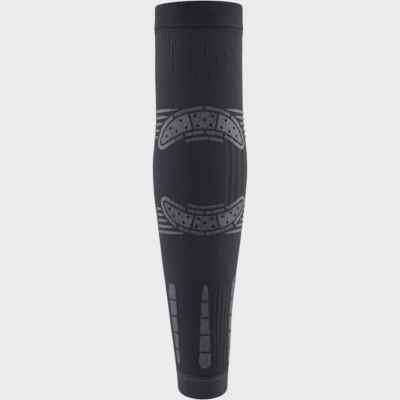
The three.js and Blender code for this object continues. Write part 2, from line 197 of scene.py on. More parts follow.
soft_box("left_soft_box", -1.1, -0.30, 0.10, 0.5, 1.2, 19, "#ecebfd")
soft_box("right_soft_box", 1.1, -0.36, 0.10, 0.5, 1.2, 20, "#fffafe")
soft_box("front_soft_box", 0.2, 1.60, 0.50, 1.2, 1.2, 3.7, "#f4f8ff")

# Knitted tube
# One seamless circular-knit tube of black polyamide and elastane yarn, drawn on over the arm. The knitting
# machine changes its stitch by zone: wide ribs down the right flank, a mesh at the left of the elbow, and
# short tuck stitches scattered over the upper arm.
UPPER_LENGTH = 167.4
FORE_LENGTH = 229.6
UPPER_RADIUS = 279.9 / (2 * math.pi)
ELBOW_RADIUS = 307.4 / (2 * math.pi)
WRIST_RADIUS = 173.8 / (2 * math.pi)
KNIT_WALL = 1.4
UPPER_LEAN = -1.3
WRIST_LEAN = 2.8
RIM_DROP = 4.3
UPPER_CUFF_HEIGHT = 26.5
LOWER_CUFF_HEIGHT = 24.6
CUFF_LAP = 3
UPPER_HEM = UPPER_LENGTH - UPPER_CUFF_HEIGHT
LOWER_HEM = LOWER_CUFF_HEIGHT - FORE_LENGTH

# Sections from the upper rim down: share of the length from the elbow, taper from the elbow's radius (0) to
# the upper arm's or the wrist's (1), depth as a share of width, and shares of the lean, the rib and the drop.
SECTIONS = [
    (1.0, 1.0, 1.0, 1.0, 0, 0),
    (0.84, 1.0, 1.0, 1.0, 0, 0),
    (0.7, 1.04, 1.0, 0.95, 0, 0),
    (0.55, 0.99, 1.0, 1.0, 0, 0),
    (0.4, 0.99, 0.99, 0.55, 0, 0),
    (0.32, 0.94, 0.985, 0.3, 0.2, 0),
    (0.25, 0.73, 0.98, -0.1, 0.7, 0),
    (0.18, 0.42, 0.97, -0.2, 1, 0),
    (0.11, 0.13, 0.96, -0.1, 1, 0),
    (0.035, 0.0, 0.955, 0, 1, 0),
    (-0.035, 0.018, 0.955, 0, 1, 0),
    (-0.1, 0.068, 0.96, 0, 1, 0),
    (-0.16, 0.139, 0.965, 0, 1, 0),
    (-0.22, 0.217, 0.97, 0, 0.6, 0),
    (-0.3, 0.305, 0.975, 0, 0.3, 0),
    (-0.38, 0.403, 0.98, 0, 0.3, 0),
    (-0.46, 0.513, 0.985, 0, 0.5, 0),
    (-0.54, 0.627, 0.99, 0.02, 0.9, 0),
    (-0.62, 0.728, 0.995, 0.08, 1, 0),
    (-0.7, 0.813, 1.0, 0.3, 1, 0.15),
    (-0.78, 0.887, 1.0, 0.65, 1, 0.5),
    (-0.85, 0.955, 1.0, 0.82, 1, 0.85),
    (-0.9, 1.0, 1.0, 0.88, 0.4, 1),
    (-1.0, 1.062, 1.0, 1.0, 0, 1),
]


def section_row(at, taper, depth, lean, rib, tilt):
    """One section as its height, width, depth, lean, rib share and tilt, in millimetres."""
    end_radius, length, full_lean = (
        (UPPER_RADIUS, UPPER_LENGTH, UPPER_LEAN) if at > 0 else (WRIST_RADIUS, FORE_LENGTH, WRIST_LEAN)
    )
    width = ELBOW_RADIUS + taper * (end_radius - ELBOW_RADIUS)
    return at * length, width, width * depth, lean * full_lean, rib, tilt * RIM_DROP


section_table = np.array([section_row(*row) for row in SECTIONS])[::-1]
SECTION_STEP = 0.5
SECTION_BLUR = 19  # steps; the table's corners are blended over about 10 mm
fine_heights = np.arange(-FORE_LENGTH - 10, UPPER_LENGTH + 10, SECTION_STEP)
fine_sections = []
for column in range(1, 6):
    values = np.interp(fine_heights, section_table[:, 0], section_table[:, column])
    padded = np.pad(values, SECTION_BLUR // 2, mode="edge")
    fine_sections.append(np.convolve(padded, np.ones(SECTION_BLUR) / SECTION_BLUR, mode="valid"))


def section_at(height):
    """Width, depth, lean, rib share and tilt of the worn sleeve at a height."""
    return [np.interp(height, fine_heights, values) for values in fine_sections]


def on_arm(angle, height, out):
    """Points of the worn sleeve in metres: angle in radians from the front, height, and distance out."""
    width, depth, lean, _, tilt = section_at(height)
    across = lean + (width + out) * np.sin(angle)
    along = -(depth + out) * np.cos(angle)
    return np.stack([across, along, height - tilt * np.cos(angle)], axis=-1) * MM


def closed_wall(name, angles, heights, outs, uv_heights):
    """A closed wall round the arm, from grids with a row for each step round its profile."""
    rows, columns = heights.shape
    points = on_arm(np.broadcast_to(angles, heights.shape), heights, outs).reshape(-1, 3)
    corner = np.arange(rows * columns).reshape(rows, columns)
    right = np.roll(corner, -1, axis=1)
    faces = np.stack([corner, np.roll(corner, -1, axis=0), np.roll(right, -1, axis=0), right], axis=-1)
    mesh = bpy.data.meshes.new(name)
    mesh.from_pydata(points.tolist(), [], faces.reshape(-1, 4).tolist())
    turn = np.append(angles, angles[0] + 2 * math.pi) / (2 * math.pi)
    low_turn = np.broadcast_to(turn[:-1], heights.shape)
    high_turn = np.broadcast_to(turn[1:], heights.shape)
    next_uv = np.roll(uv_heights, -1, axis=0)
    wales = mesh.uv_layers.new(name="wales")
    across = np.stack([low_turn, low_turn, high_turn, high_turn], axis=-1)
    upwards = np.stack([uv_heights, next_uv, next_uv, uv_heights], axis=-1) * MM
    wales.data.foreach_set("uv", np.stack([across, upwards], axis=-1).ravel())
    mesh.polygons.foreach_set("use_smooth", [True] * len(mesh.polygons))
    mesh.update()
    piece = bpy.data.objects.new(name, mesh)
    bpy.context.collection.objects.link(piece)
    return piece


def paint(piece, name, values):
    """Stores one number a corner on a piece, for its material to read."""
    layer = piece.data.attributes.new(name, "FLOAT", "POINT")
    layer.data.foreach_set("value", np.ascontiguousarray(values, dtype=np.float32).ravel())


def ease(value, start, end):
    """0 before start and 1 past end, with a soft step between; start may be above end."""
    share = np.clip((value - start) / (end - start), 0, 1)
    return share * share * (3 - 2 * share)


# The columns are closer over the printed front, where the tuck stitches are
FRONT_FROM = math.radians(-62)
FRONT_TO = math.radians(112)
FRONT_COLUMNS = 250
BACK_COLUMNS = 84
TUBE_TOP = UPPER_HEM + CUFF_LAP
TUBE_FOOT = LOWER_HEM - CUFF_LAP
HEM_RUN = 14  # length beside each hem with closer rows
front_angles = np.linspace(FRONT_FROM, FRONT_TO, FRONT_COLUMNS, endpoint=False)
back_angles = np.linspace(FRONT_TO, FRONT_FROM + 2 * math.pi, BACK_COLUMNS, endpoint=False)
tube_angles = np.concatenate([front_angles, back_angles])
# Rows from the top down: closer beside the hems and where the pads' holes show the knit
outer_rows = np.concatenate([
    np.linspace(TUBE_TOP, UPPER_HEM - HEM_RUN, 22, endpoint=False),
    np.linspace(UPPER_HEM - HEM_RUN, 61, 36, endpoint=False),
    np.linspace(61, 29, 42, endpoint=False),
    np.linspace(29, -31, 22, endpoint=False),
    np.linspace(-31, -58, 36, endpoint=False),
    np.linspace(-58, LOWER_HEM + HEM_RUN, 52, endpoint=False),
    np.linspace(LOWER_HEM + HEM_RUN, TUBE_FOOT, 22),
])
inner_rows = np.linspace(TUBE_FOOT, TUBE_TOP, 26)

# Crests of the ribs, in degrees from the front, and the share of the depth of the groove past each
ELBOW_CRESTS = [8, 19.5, 26.5, 36, 47.7, 62, 75, 87, 98]
ELBOW_GROOVES = [0.3, 0.1, 0.8, 0.9, 1, 1, 0.8, 0.3]
FOREARM_CRESTS = [1, 9.7, 18.1, 26.8, 35.9, 45.7, 57, 70, 83]
FOREARM_GROOVES = [0.3, 0.8, 1, 1, 1, 0.9, 0.7, 0.3]
# Painted highlight on each elbow crest: how strong it is
ELBOW_CREST_HIGHLIGHTS = [0, 0.3, 0.95, 0.85, 0.8, 0.8, 0.6, 0.4, 0]  # how much the yarn on each crest shines
RIB_COUNT = len(ELBOW_CRESTS)
ELBOW_RIB_DEPTH = 0.46
ARM_RIB_DEPTH = 0.5

# The longer tuck stitches: angle and height of the upper end, and of the lower end
TUCKS = [
    (-16.8, 133, -16.9, 129.5), (-14.1, 122, -14.1, 118), (2.2, 127, 1.4, 111), (6.6, 124, 6.6, 118),
    (10.1, 127, 10, 116.5), (18.1, 122.5, 18, 118.5), (17.4, 115, 15, 105), (22.3, 115, 22.3, 111),
    (27.5, 119, 27.4, 113), (32.2, 119, 29, 105), (35.3, 115, 34, 108.5), (41.5, 119, 41, 115),
    (39.6, 108, 38.5, 103), (-4.4, 103, -4.5, 98.5), (-8, 103, -9.9, 87), (19.8, 103, 19.6, 100),
    (23.4, 104, 23, 97.5), (30.4, 98, 30, 95), (35.8, 99, 35.5, 96), (39.6, 99, 39, 95.5),
    (33.9, 93, 30.1, 83.5), (21.6, 96, 21.4, 93), (5.4, 90.5, 5.3, 87.5), (9.1, 91, 9, 87),
    (27, 87, 26.8, 85), (30.9, 88.5, 29.6, 83.5), (43, 87, 42.5, 83.5), (14, 83.5, 13.8, 80),
    (23, 79, 22.6, 75.5), (19.7, 79, 19.4, 72), (7.4, 97, 6.9, 91), (-15, 87, -15.2, 83),
    (-52.1, 138, -53.8, 130.5), (-48.9, 138, -46.9, 130), (-46.9, 130, -46.1, 123), (-45.8, 122, -45.9, 115),
    (-42.7, 126, -41.3, 120), (-41.3, 120, -40.7, 106), (-40.7, 106, -41.2, 99), (-37.6, 130, -37.7, 126),
    (-51.5, 126.5, -51.8, 123), (-43.2, 136, -43.4, 134), (-59.6, 105.5, -59.6, 104), (-59.4, 98, -59.4, 96),
    (-48.2, 122, -48.4, 118), (-41.4, 71, -43.6, 62),
]
TUCK_DEPTH = 0.36
TUCK_WIDTH = 0.55  # half of it
TUCK_EDGE = 1.25  # from a tuck's middle to the light edge at its right

# The hem lines as they stray round the arm: angle from the front, lift, and share of the shade under the lip
UPPER_HEM_LINE = [
    (-97, 0.9, 1), (-75, 1.6, 1), (-66, 2.0, 1), (-58, 1.9, 0.6), (-47, 1.2, 0.8), (-40, 0.8, 0.7),
    (-33, 0.4, 0.4), (-26, 0.25, 0.4), (-20, 0.2, 0.5), (-14, 0.1, 0.8), (-8, 0.0, 0.9), (2, 0.2, 0.7),
    (7, 0.7, 0.1), (11, 0.6, 0.4), (15, 0.6, 0.6), (19, 0.9, 0.5), (24, 1.5, 1.0), (28, 1.8, 0.7),
    (34, 1.9, 0.7), (40, 1.8, 0.7), (47, 1.6, 0.5), (56, 1.2, 0.5), (62, 1.0, 0.6), (74, 0.9, 1.1),
    (90, 1.0, 1), (130, 0.4, 0.8), (160, -0.2, 1), (190, 0.2, 0.7), (215, -0.2, 1), (240, 0.5, 0.8),
]
LOWER_HEM_LINE = [
    (-90, 0.2, 1), (-60, 0.1, 1), (-45, 0.25, 0.8), (-30, 0.1, 0.8), (-12, -0.3, 1), (0, -0.35, 1),
    (15, -0.25, 1), (25, 0.05, 1), (32, 0.35, 1), (45, 0.2, 0.8), (60, 0.0, 1), (90, 0.1, 0.8),
    (130, -0.2, 1), (160, 0.2, 0.7), (190, 0.0, 1), (215, 0.2, 0.8), (240, -0.1, 1),
]


def hem_line_at(hem_line, angle, column):
    """A column of a hem line's table at an angle in radians: 1 is the lift and 2 the share of the shade."""
    table = np.array(hem_line)
    return np.interp(np.degrees(angle), table[:, 0], table[:, column], period=360)


grid_angle, grid_height = np.meshgrid(tube_angles, outer_rows)
grid_width, _, _, grid_rib, _ = section_at(grid_height)

# Ribs: broad waves at the elbow, and narrow grooves between flat ribs on the forearm
forearm_share = ease(grid_height, -50, -110)
elbow_phase = np.interp(np.degrees(grid_angle), ELBOW_CRESTS, range(RIB_COUNT))
forearm_phase = np.interp(np.degrees(grid_angle), FOREARM_CRESTS, range(RIB_COUNT))
rib_phase = elbow_phase + (forearm_phase - elbow_phase) * forearm_share
groove_middles = np.arange(RIB_COUNT - 1) + 0.5
elbow_zone = np.interp(rib_phase, groove_middles, ELBOW_GROOVES, left=0, right=0)
forearm_zone = np.interp(rib_phase, groove_middles, FOREARM_GROOVES, left=0, right=0)
in_ribs = ease(rib_phase, 0, 0.4) * ease(rib_phase, RIB_COUNT - 1, RIB_COUNT - 1.4)
wave = (1 - np.cos(2 * math.pi * rib_phase)) / 2
narrow = np.exp(-(((rib_phase % 1) - 0.5) / 0.16) ** 2)
rib_groove = grid_rib * in_ribs * (
    wave * (1 - forearm_share) * elbow_zone * ELBOW_RIB_DEPTH
    + narrow * forearm_share * ease(grid_height, -96, -138) * forearm_zone * ARM_RIB_DEPTH
)

# A painted highlight runs along the left side of each crest at the elbow
crest_highlight = np.interp(rib_phase, range(RIB_COUNT), ELBOW_CREST_HIGHLIGHTS) * grid_rib * (1 - forearm_share)
crest_highlight = crest_highlight * np.exp(-((((rib_phase + 0.58) % 1) - 0.5) / 0.2) ** 2)

# Tucks: each is a short groove along the wales, with painted shade in it and a painted highlight on the edge
# beside it
tuck_groove = np.zeros_like(grid_height)
tuck_highlight = np.zeros_like(grid_height)
for top_angle, top, foot_angle, foot in TUCKS:
    line_share = (top - grid_height) / (top - foot)
    line_angle = np.radians(top_angle + (foot_angle - top_angle) * line_share)
    aside = (np.mod(grid_angle - line_angle + math.pi, 2 * math.pi) - math.pi) * grid_width
    ends = ease(grid_height, foot - 1, foot + 1.4) * ease(grid_height, top + 1, top - 1.4)
    tuck_groove = np.maximum(tuck_groove, np.exp(-((aside / TUCK_WIDTH) ** 2)) * ends)
    tuck_highlight = np.maximum(tuck_highlight, np.exp(-(((aside - TUCK_EDGE) / TUCK_WIDTH) ** 2)) * ends)

# The fabric is drawn in under each hem, swells just past it, and is nowhere quite even
above_hem = grid_height - UPPER_HEM - hem_line_at(UPPER_HEM_LINE, grid_angle, 1)
hem_draw = 0.9 * ease(above_hem, -0.3, 1.3)
hem_draw = hem_draw + 0.9 * ease(grid_height, LOWER_HEM + 2.2, LOWER_HEM - 0.4)
swell = 0.55 * np.exp(-(((above_hem + 1.1) / 3.0) ** 2))
gathers = np.sin(grid_angle * 34 + 1.3 * np.sin(grid_angle * 5))
gathers = gathers * np.exp(-((UPPER_HEM - grid_height) / 4) ** 2)
ripple = (
    0.16 * np.sin(2 * grid_angle + grid_height * 0.045)
    + 0.10 * np.sin(5 * grid_angle - grid_height * 0.083 + 1)
    + 0.05 * np.sin(11 * grid_angle + grid_height * 0.19)
)
calm = ease(grid_height, UPPER_HEM + 2, UPPER_HEM - 14) * ease(grid_height, LOWER_HEM - 2, LOWER_HEM + 14)
outer_out = ripple * calm + swell + 0.08 * gathers - hem_draw - rib_groove - TUCK_DEPTH * tuck_groove
inner_height = np.repeat(inner_rows[:, None], len(tube_angles), axis=1)
tube_heights = np.concatenate([grid_height, inner_height])
inner_out = np.full_like(inner_height, -KNIT_WALL - 0.35)
tube_outs = np.concatenate([outer_out, inner_out])
knit_tube = closed_wall("knitted_tube", tube_angles, tube_heights, tube_outs, tube_heights)

# The mesh at the left of the elbow, by degrees from the front and by height from the elbow
flank_degrees = (np.degrees(grid_angle) + 180) % 360 - 180
mesh_zone = (
    ease(flank_degrees, -54, -58) * ease(flank_degrees, -96, -86)
    * ease(grid_height, 26, 21) * ease(grid_height, -9, -4)
)
inner_blank = np.zeros_like(inner_height)
# Under each lip the knit is in shade, which fades away from the hem
upper_shade = 0.85 * hem_line_at(UPPER_HEM_LINE, grid_angle, 2) * ease(above_hem, -2.0, 0)
upper_shade = upper_shade + 0.2 * ease(grid_height, UPPER_HEM - 12, UPPER_HEM)
lower_shade = 0.55 * hem_line_at(LOWER_HEM_LINE, grid_angle, 2)
lower_shade = lower_shade * ease(grid_height, LOWER_HEM + 1.2, LOWER_HEM)
# Painted shade in the tucks' and the ribs' grooves, less the painted highlights beside the tucks and along the
# crests
shade = np.maximum(1.35 * tuck_groove, 1.4 * rib_groove) - 1.3 * tuck_highlight - crest_highlight
# Painted shade over the right flank of the upper arm, and a painted highlight towards the arm's right edge
flank_shade_and_highlight = 0.3 * ease(flank_degrees, 10, 26) * ease(flank_degrees, 60, 46)
flank_shade_and_highlight = flank_shade_and_highlight - 0.25 * ease(flank_degrees, 54, 66) * ease(flank_degrees, 150, 110)
shade = shade + upper_shade + lower_shade + flank_shade_and_highlight * ease(grid_height, 60, 76)
paint(knit_tube, "painted_shade_and_highlight", np.concatenate([shade, inner_blank]))
paint(knit_tube, "mesh_zone", np.concatenate([mesh_zone, inner_blank]))
# The short tuck stitches fill the right of the upper arm
tuck_zone = 0.25 * ease(flank_degrees, 2, 12) + 0.75 * ease(flank_degrees, 20, 34)
tuck_zone = tuck_zone * ease(flank_degrees, 92, 74)
tuck_zone = tuck_zone * ease(grid_height, UPPER_HEM - 4, UPPER_HEM - 16) * ease(grid_height, 66, 80)
paint(knit_tube, "tuck_zone", np.concatenate([tuck_zone, inner_blank]))

# Polyamide and elastane yarn, circular knitted: matt and near black, with columns of stitches (wales) that
# catch the light along their sides, and a fine fuzz that shines at a grazing angle.
WALES = 290  # round the arm, 1.06 mm apart at the elbow: about twice the real ones', so that they show
COURSE = 1.3 * MM  # height of a stitch, drawn as much too coarse


def stitch_height(tree, wales, course):
    """The relief of plain knit from the wales map, 0 to 1, and the map's turns and height in metres."""
    uv = add(tree, "ShaderNodeUVMap", uv_map="wales")
    split = add(tree, "ShaderNodeSeparateXYZ", {0: uv.outputs[0]})
    column = add(tree, "ShaderNodeMath", {0: split.outputs[0], 1: wales}, operation="MULTIPLY")
    within = add(tree, "ShaderNodeMath", {0: column.outputs[0]}, operation="FRACT")
    centred = add(tree, "ShaderNodeMath", {0: within.outputs[0], 1: 0.5}, operation="SUBTRACT")
    aside = add(tree, "ShaderNodeMath", {0: centred.outputs[0]}, operation="ABSOLUTE")
    row = add(tree, "ShaderNodeMath", {0: split.outputs[1], 1: 1 / course}, operation="MULTIPLY")
    leg = add(
        tree, "ShaderNodeMath", {0: aside.outputs[0], 1: 1.2, 2: row.outputs[0]}, operation="MULTIPLY_ADD",
    )
    angle = add(tree, "ShaderNodeMath", {0: leg.outputs[0], 1: 2 * math.pi}, operation="MULTIPLY")
    loop = add(tree, "ShaderNodeMath", {0: angle.outputs[0]}, operation="COSINE")
    loop_half = add(
        tree, "ShaderNodeMath", {0: loop.outputs[0], 1: 0.2, 2: 0.2}, operation="MULTIPLY_ADD",
    )
    side = add(tree, "ShaderNodeMath", {0: aside.outputs[0], 1: 2 * math.pi}, operation="MULTIPLY")
    ridge = add(tree, "ShaderNodeMath", {0: side.outputs[0]}, operation="COSINE")
    ridge_half = add(
        tree, "ShaderNodeMath", {0: ridge.outputs[0], 1: -0.3, 2: 0.3}, operation="MULTIPLY_ADD",
    )
    total = add(
        tree, "ShaderNodeMath", {0: loop_half.outputs[0], 1: ridge_half.outputs[0]}, operation="ADD",
    )
    return total.outputs[0], split.outputs[0], split.outputs[1]


knit_material, tree, output = new_material("circular_knit_polyamide")
relief, turns, height_along = stitch_height(tree, WALES, COURSE)
# A twill of mesh holes at the left of the elbow, in rows that fall towards the front
MESH_PITCH = 2.6 * MM
MESH_CLIMB = 58.0  # rows gained in one turn round the arm
zone = add(tree, "ShaderNodeAttribute", attribute_name="mesh_zone")
climb = add(tree, "ShaderNodeMath", {0: turns, 1: MESH_CLIMB}, operation="MULTIPLY")
twill = add(
    tree, "ShaderNodeMath", {0: height_along, 1: 1 / MESH_PITCH, 2: climb.outputs[0]},
    operation="MULTIPLY_ADD",
)
twill_angle = add(tree, "ShaderNodeMath", {0: twill.outputs[0], 1: 2 * math.pi}, operation="MULTIPLY")
twill_round = add(tree, "ShaderNodeMath", {0: twill_angle.outputs[0]}, operation="COSINE")
twill_wave = add(tree, "ShaderNodeMath", {0: twill_round.outputs[0]}, operation="SIGN")
twill_depth = add(
    tree, "ShaderNodeMath", {0: twill_wave.outputs[0], 1: zone.outputs["Fac"]}, operation="MULTIPLY",
)
combined = add(
    tree, "ShaderNodeMath", {0: twill_depth.outputs[0], 1: 0.5, 2: relief}, operation="MULTIPLY_ADD",
)
# The short tuck stitches: slanting dashes, each a dash of painted shade with a painted highlight beside it, on
# some of the cells of a lattice whose columns widen up the arm and round the flank
TUCK_COLUMNS = 48.0  # from the front to the flank, at the elbow's height
TUCK_WIDENING = -180.0  # columns fewer for each metre up the arm
TUCK_SWING = 0.75  # the columns' angle as a share of the arm's
TUCK_CELL = 6.5 * MM  # height of a cell
TUCK_SHARE = 0.42  # of the cells that have a dash
swing_angle = add(
    tree, "ShaderNodeMath", {0: turns, 1: TUCK_SWING * 2 * math.pi}, operation="MULTIPLY",
)
swing = add(tree, "ShaderNodeMath", {0: swing_angle.outputs[0]}, operation="SINE")
spread = add(
    tree, "ShaderNodeMath", {0: height_along, 1: TUCK_WIDENING, 2: TUCK_COLUMNS}, operation="MULTIPLY_ADD",
)
lattice = add(tree, "ShaderNodeMath", {0: swing.outputs[0], 1: spread.outputs[0]}, operation="MULTIPLY")
cell_column = add(tree, "ShaderNodeMath", {0: lattice.outputs[0]}, operation="FLOOR")
in_column = add(tree, "ShaderNodeMath", {0: lattice.outputs[0]}, operation="FRACT")
start = add(tree, "ShaderNodeTexWhiteNoise", {"W": cell_column.outputs[0]}, noise_dimensions="1D")
climb_cells = add(
    tree, "ShaderNodeMath", {0: height_along, 1: 1 / TUCK_CELL, 2: start.outputs[0]},
    operation="MULTIPLY_ADD",
)
cell_row = add(tree, "ShaderNodeMath", {0: climb_cells.outputs[0]}, operation="FLOOR")
in_row = add(tree, "ShaderNodeMath", {0: climb_cells.outputs[0]}, operation="FRACT")
cell = add(tree, "ShaderNodeCombineXYZ", {0: cell_column.outputs[0], 1: cell_row.outputs[0]})
chance = add(tree, "ShaderNodeTexWhiteNoise", {"Vector": cell.outputs[0]}, noise_dimensions="2D")
is_tuck = add(tree, "ShaderNodeMath", {0: chance.outputs[0], 1: TUCK_SHARE}, operation="LESS_THAN")
ends = add(tree, "ShaderNodeMath", {0: in_row.outputs[0], 1: 0.5, 2: 0.34}, operation="COMPARE")
across = add(tree, "ShaderNodeMath", {0: in_column.outputs[0], 1: 2 * math.pi}, operation="MULTIPLY")
pair = add(tree, "ShaderNodeMath", {0: across.outputs[0]}, operation="SINE")
tuck_cell = add(tree, "ShaderNodeMath", {0: is_tuck.outputs[0], 1: ends.outputs[0]}, operation="MULTIPLY")
tuck_dash = add(tree, "ShaderNodeMath", {0: tuck_cell.outputs[0], 1: pair.outputs[0]}, operation="MULTIPLY")
tuck_area = add(tree, "ShaderNodeAttribute", attribute_name="tuck_zone")
tuck_shading = add(
    tree, "ShaderNodeMath", {0: tuck_dash.outputs[0], 1: tuck_area.outputs["Fac"]}, operation="MULTIPLY",
)
# Yarn streaks, 2 mm wide and 45 mm long, and wide clouds of slightly paler and darker yarn
uv = add(tree, "ShaderNodeUVMap", uv_map="wales")
streak_map = add(tree, "ShaderNodeMapping", {0: uv.outputs[0], "Scale": (150, 22, 1)})
streaks = add(
    tree, "ShaderNodeTexNoise", {"Vector": streak_map.outputs[0], "Scale": 1.0, "Detail": 2.0},
    noise_dimensions="2D",
)
cloud_map = add(tree, "ShaderNodeTexCoord")
clouds = add(
    tree, "ShaderNodeTexNoise", {"Vector": cloud_map.outputs["Object"], "Scale": 26.0, "Detail": 2.0},
)
streak_tone = add(
    tree, "ShaderNodeMath", {0: streaks.outputs[0], 1: 0.35, 2: 0.55}, operation="MULTIPLY_ADD",
)
cloud_tone = add(
    tree, "ShaderNodeMath", {0: clouds.outputs[0], 1: 0.5, 2: 0.5}, operation="MULTIPLY_ADD",
)
yarn_tone = add(
    tree, "ShaderNodeMath", {0: streak_tone.outputs[0], 1: cloud_tone.outputs[0]}, operation="MULTIPLY",
)
# The stitches' and the mesh's relief is painted into the colour too: painted light on the raised yarn, painted
# shade between
stitch_tone = add(
    tree, "ShaderNodeMath", {0: combined.outputs[0], 1: 0.35, 2: yarn_tone.outputs[0]},
    operation="MULTIPLY_ADD",
)
# Painted shade darkens the yarn in the grooves, the tucks, the mesh's holes and the bottoms of the pads'
# holes;
# painted highlights lighten it beside the tucks, along the crests, between the mesh's holes and at the arm's
# right edge
darker = stitch_tone
painted_shade_and_highlight = add(tree, "ShaderNodeAttribute", attribute_name="painted_shade_and_highlight")
pit = add(tree, "ShaderNodeAttribute", attribute_name="hole_shade")
for depth, share in (
    (painted_shade_and_highlight.outputs["Fac"], -0.42), (tuck_shading.outputs[0], -0.6), (twill_depth.outputs[0], -0.85),
    (pit.outputs["Fac"], -0.6),
):
    darker = add(
        tree, "ShaderNodeMath", {0: depth, 1: share, 2: darker.outputs[0]}, operation="MULTIPLY_ADD",
    )
yarn = add(
    tree, "ShaderNodeMix", {"Factor": darker.outputs[0], 6: linear("#161719"), 7: linear("#3a3c40")},
    data_type="RGBA", clamp_factor=False,
)
bump = add(tree, "ShaderNodeBump", {"Height": combined.outputs[0], "Strength": 0.55, "Distance": 0.4 * MM})
cloth = add(tree, "ShaderNodeBsdfPrincipled", {
    "Base Color": yarn.outputs[2], "Normal": bump.outputs[0], "Roughness": 0.95, "Specular IOR Level": 0.15,
    "Sheen Weight": 0.5, "Sheen Roughness": 0.2, "Sheen Tint": linear("#9c9cb2"),
})
tree.links.new(cloth.outputs[0], output.inputs["Surface"])
knit_tube.data.materials.append(knit_material)
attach(knit_tube, "root")
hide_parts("knit_tube")

# Hems
# Each end of the tube is a doubled band of the same yarn, knitted plain, folded inwards at the rim and
# linked to the tube. Its lip rolls a little over the knit, and the dark line along the hem is partly the lip's
# own shadow and partly painted shade.
CUFF_COLUMNS = 240
# Distance from the hem towards the rim, and distance out of the sleeve, round the outside of each band
UPPER_CUFF_OUTSIDE = [
    (0.8, -0.1), (0.75, 0.3), (1.1, 0.62), (1.9, 0.8), (3.0, 0.76), (4.4, 0.66), (6.5, 0.6),
    (8.5, 0.42), (11, 0.22), (15, 0.18), (20, 0.18), (23.6, 0.12), (25.2, -0.1), (26.1, -0.45),
    (26.5, -0.85),
]
LOWER_CUFF_OUTSIDE = [
    (-0.1, -0.8), (0.0, -0.45), (0.5, -0.2), (1.4, -0.15), (2.6, -0.3), (3.6, -0.12), (4.4, 0.02),
    (5.2, -0.1), (6.4, -0.36), (8, -0.38), (12, -0.4), (17, -0.32), (21.4, -0.3), (23.2, -0.45),
    (24.2, -0.8), (24.6, -1.2),
]
CUFF_INSIDE = -1.85
ROLL_PLACE = 2.4  # the top of the upper lip's roll, from the hem
WELT_PLACE = 4.4  # the raised line round the wrist's band, from the hem


def cuff_wall(name, hem, height, way, outside, hem_line, rim_lean, rim_sag):
    """A doubled band between its hem line and its rim; way is 1 above the elbow and -1 below it."""
    steps = [np.array(outside)]
    rim_out = outside[-1][1]
    steps.append(np.array([(height + 0.05, (rim_out + CUFF_INSIDE) / 2 + 0.1)]))
    steps.append(np.array([(height - 0.3, CUFF_INSIDE + 0.15)]))
    steps.append(np.array([(height - 1.2, CUFF_INSIDE), (height / 2, CUFF_INSIDE), (0.3, CUFF_INSIDE)]))
    corners = np.concatenate(steps)
    lengths = np.append(0, np.cumsum(np.hypot(*np.diff(corners, axis=0).T)))
    outer_length = lengths[len(outside) + 1]
    places = np.concatenate([
        np.linspace(0, outer_length, 62, endpoint=False), np.linspace(outer_length, lengths[-1], 12),
    ])
    away = np.interp(places, lengths, corners[:, 0])[:, None]
    out = np.interp(places, lengths, corners[:, 1])[:, None]
    angles = np.linspace(-math.pi, math.pi, CUFF_COLUMNS, endpoint=False)[None, :]
    near_hem = np.exp(-((away / 5) ** 2))
    on_outside = ease(out, CUFF_INSIDE + 0.3, -0.4)
    wander = hem_line_at(hem_line, angles, 1)
    pucker = np.sin(angles * 41 + 1.7 * np.sin(angles * 4)) * 0.05 + np.sin(angles * 23) * 0.04
    rim_shift = rim_lean * np.sin(angles) - rim_sag * np.sin(angles) ** 2
    heights = hem + way * away + near_hem * wander + rim_shift * ease(away, 6, height)
    outs = out + on_outside * near_hem * pucker
    outs = outs + on_outside * 0.07 * np.sin(3 * angles + away * 0.2) * ease(away, 0, 6)
    # Painted shade at the lip's edge and along the fold, and a painted highlight on the lip's roll and on the
    # wrist's welt
    lip_edge = np.exp(-(((away - outside[1][0]) / 0.5) ** 2))
    fold_shade = np.exp(-(((away - height - 0.05) / 0.9) ** 2))
    roll_place, roll_highlight_strength, lip_shade_strength = (ROLL_PLACE, 0.25, 0.6) if way > 0 else (WELT_PLACE, 0.375, 0.2)
    roll = roll_highlight_strength * np.exp(-((away - roll_place) ** 2))
    lip_shade = lip_shade_strength * hem_line_at(hem_line, angles, 2)
    shade = on_outside * (lip_shade * lip_edge - roll) + 1.1 * fold_shade
    if way < 0:
        heights, outs, shade = heights[::-1], outs[::-1], shade[::-1]
    band = closed_wall(name, angles[0], heights, outs, heights)
    paint(band, "painted_shade_and_highlight", shade)
    return band


CUFF_WALES = 210  # round the arm, coarser than real ones, as on the tube
CUFF_COURSE = 1.5 * MM


